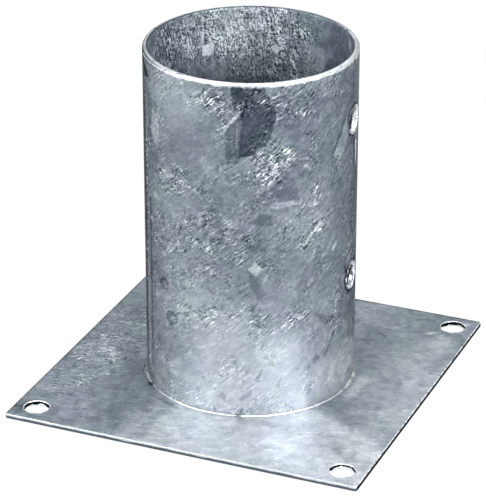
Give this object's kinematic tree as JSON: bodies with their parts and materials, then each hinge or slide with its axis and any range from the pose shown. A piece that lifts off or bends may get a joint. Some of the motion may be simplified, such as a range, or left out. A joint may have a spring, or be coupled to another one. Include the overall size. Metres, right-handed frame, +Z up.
{
  "type": "timber post base",
  "caption": "Screw-down base for a round timber post: an open galvanised steel tube welded upright on a square plate with corner anchor holes and cross holes for screws.",
  "frame": {"origin": "centre of the base plate's underside", "axes": "+Z up the sleeve, out of its open mouth; +X and +Y square to the plate's sides, with the sleeve's cross holes 3.5 degrees from +X"},
  "size_m": [0.15, 0.15, 0.1445],
  "materials": {
    "plate_zinc": "hot-dip galvanised sheet, mottled spangle",
    "sleeve_zinc": "hot-dip galvanised tube, feathered spangle with pale streaks",
    "weld_zinc": "hot-dip galvanised weld, bright and lumpy"
  },
  "bodies": {
    "root": {"base_plate": "plate_zinc", "post_sleeve": "sleeve_zinc", "weld_bead": "weld_zinc"}
  },
  "joints": []
}
